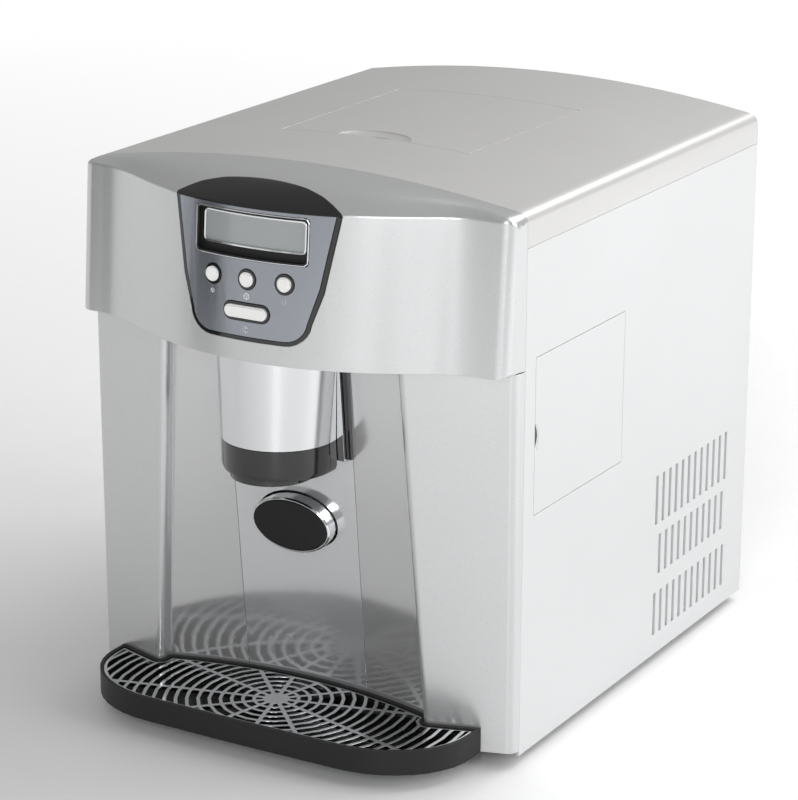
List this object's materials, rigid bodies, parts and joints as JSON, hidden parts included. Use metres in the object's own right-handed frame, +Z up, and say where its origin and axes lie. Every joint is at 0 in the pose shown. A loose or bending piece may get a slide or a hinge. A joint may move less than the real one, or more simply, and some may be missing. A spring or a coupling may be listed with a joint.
{
  "type": "ice maker",
  "caption": "Free-standing countertop ice maker with an ice and water spout, push pad, drip tray, top lid, side door and control panel.",
  "frame": {"origin": "middle of the footprint, at the underside of the feet", "axes": "+Z up, the front with its spout and drip tray faces -Y, +X is the right-hand side seen from the front"},
  "size_m": [0.365, 0.499, 0.432],
  "materials": {
    "silver_paint": "silver-painted moulding, satin gloss",
    "side_paint": "light silver-grey painted sheet, satin",
    "top_paint": "warm silver-grey painted moulding, satin gloss",
    "splash_silver": "glossy silver moulding that mirrors the grille",
    "gloss_black": "gloss black",
    "faceplate": "blue-grey metallic faceplate, fine satin grain",
    "display_glass": "grey-green display behind a clear window",
    "button_white": "off-white, satin gloss",
    "matte_black": "charcoal black, fine moulded texture",
    "pad_rubber": "soft black, matte",
    "chrome_trim": "bright plated",
    "spout_silver": "silver, satin gloss",
    "foot_rubber": "matte rubber",
    "zinc_sheet": "zinc-plated sheet, dull",
    "inner_white": "white moulded plastic",
    "clear_tank": "cloudy clear plastic",
    "foam": "expanded foam beads",
    "steel": "stainless, satin",
    "grey_metal": "dark grey painted can",
    "black_enamel": "black enamel",
    "fins": "bare fin stock",
    "nickel": "nickel-plated, soft shine",
    "dark_plastic": "dark grey moulded plastic",
    "board_green": "green circuit board",
    "filter_mesh": "pale woven filter mesh"
  },
  "bodies": {
    "cabinet": {"base_pan": "zinc_sheet", "left_side_panel": "side_paint", "right_side_panel": "side_paint", "back_panel": "side_paint", "top_cover": "top_paint", "front_frame": "silver_paint", "splash_panel": "splash_silver", "fascia": "silver_paint", "panel_surround": "gloss_black", "control_faceplate": "faceplate", "lcd_frame": "matte_black", "lcd_screen": "display_glass", "control_board": "board_green", "spout_carrier": "gloss_black", "spout_trim": "chrome_trim", "spout_cowl": "spout_silver", "spout_base": "gloss_black", "ice_chute": "inner_white", "pad_switch": "dark_plastic", "lid_throat": "inner_white", "tank_bay": "inner_white", "water_tank": "clear_tank", "ice_bin": "inner_white", "bin_insulation": "foam", "auger_motor": "grey_metal", "deck": "zinc_sheet", "bulkhead": "zinc_sheet", "evaporator_carrier": "inner_white", "evaporator": "nickel", "compressor": "black_enamel", "condenser": "fins", "fan_shroud": "dark_plastic", "fan_motor": "grey_metal", "water_pump": "dark_plastic", "power_inlet": "dark_plastic", "right_air_filter": "filter_mesh", "left_air_filter": "filter_mesh", "foot_front_left": "foot_rubber", "foot_front_right": "foot_rubber", "foot_back_left": "foot_rubber", "foot_back_right": "foot_rubber"},
    "lid": {"top_lid": "top_paint"},
    "door": {"side_door": "side_paint"},
    "button_1": {"select_button_1": "button_white"},
    "button_2": {"select_button_2": "button_white"},
    "button_3": {"select_button_3": "button_white"},
    "power_key": {"power_button": "button_white"},
    "paddle": {"push_pad": "pad_rubber", "pad_rim": "chrome_trim"},
    "flap": {"ice_flap": "dark_plastic"},
    "tray": {"drip_tray": "matte_black"},
    "grille": {"drip_grille": "chrome_trim"},
    "fan_rotor": {"fan": "dark_plastic"},
    "auger_screw": {"auger": "steel"},
    "trough": {"water_trough": "inner_white"},
    "drain_plug": {"drain_cap": "dark_plastic"}
  },
  "joints": [
    {"name": "lid_hinge", "type": "hinge", "parent": "cabinet", "child": "lid", "pos_m": [0, 0.12137, 0.432], "axis": [-1, 0, 0], "range_deg": [0, 100]},
    {"name": "door_hinge", "type": "hinge", "parent": "cabinet", "child": "door", "pos_m": [0.1825, 0.00514, 0.2495], "axis": [0, 0, 1], "range_deg": [0, 100]},
    {"name": "button_1_press", "type": "slide", "parent": "cabinet", "child": "button_1", "axis": [0, 1, 0], "range_m": [0, 0.0015], "stiffness_N_per_m": 800, "springref_m": -0.0005},
    {"name": "button_2_press", "type": "slide", "parent": "cabinet", "child": "button_2", "axis": [0, 1, 0], "range_m": [0, 0.0015], "stiffness_N_per_m": 800, "springref_m": -0.0005},
    {"name": "button_3_press", "type": "slide", "parent": "cabinet", "child": "button_3", "axis": [0, 1, 0], "range_m": [0, 0.0015], "stiffness_N_per_m": 800, "springref_m": -0.0005},
    {"name": "power_key_press", "type": "slide", "parent": "cabinet", "child": "power_key", "axis": [0, 1, 0], "range_m": [0, 0.0015], "stiffness_N_per_m": 800, "springref_m": -0.0005},
    {"name": "paddle_push", "type": "slide", "parent": "cabinet", "child": "paddle", "axis": [0, 0.9928, 0.1197], "range_m": [0, 0.003], "stiffness_N_per_m": 600, "springref_m": -0.0015},
    {"name": "flap_hinge", "type": "hinge", "parent": "cabinet", "child": "flap", "pos_m": [0, -0.1879, 0.2735], "axis": [-1, 0, 0], "range_deg": [0, 35]},
    {"name": "tray_slide", "type": "slide", "parent": "cabinet", "child": "tray", "axis": [0, -1, 0], "range_m": [0, 0.11]},
    {"name": "grille_lift", "type": "slide", "parent": "tray", "child": "grille", "axis": [0, 0, 1], "range_m": [0, 0.03]},
    {"name": "fan_spin", "type": "hinge", "parent": "cabinet", "child": "fan_rotor", "pos_m": [0.12775, 0.142, 0.08552], "axis": [1, 0, 0], "continuous": true},
    {"name": "auger_spin", "type": "hinge", "parent": "cabinet", "child": "auger_screw", "pos_m": [0, -0.0535, 0.249], "axis": [0, 1, 0], "continuous": true},
    {"name": "trough_tilt", "type": "hinge", "parent": "cabinet", "child": "trough", "pos_m": [0, 0.08842, 0.366], "axis": [1, 0, 0], "range_deg": [0, 25]},
    {"name": "drain_plug_pull", "type": "slide", "parent": "cabinet", "child": "drain_plug", "axis": [0, 1, 0], "range_m": [0, 0.02]}
  ],
  "couplings": [
    {"joint": "flap_hinge", "follows": "paddle_push", "rad_per_m": 200}
  ]
}
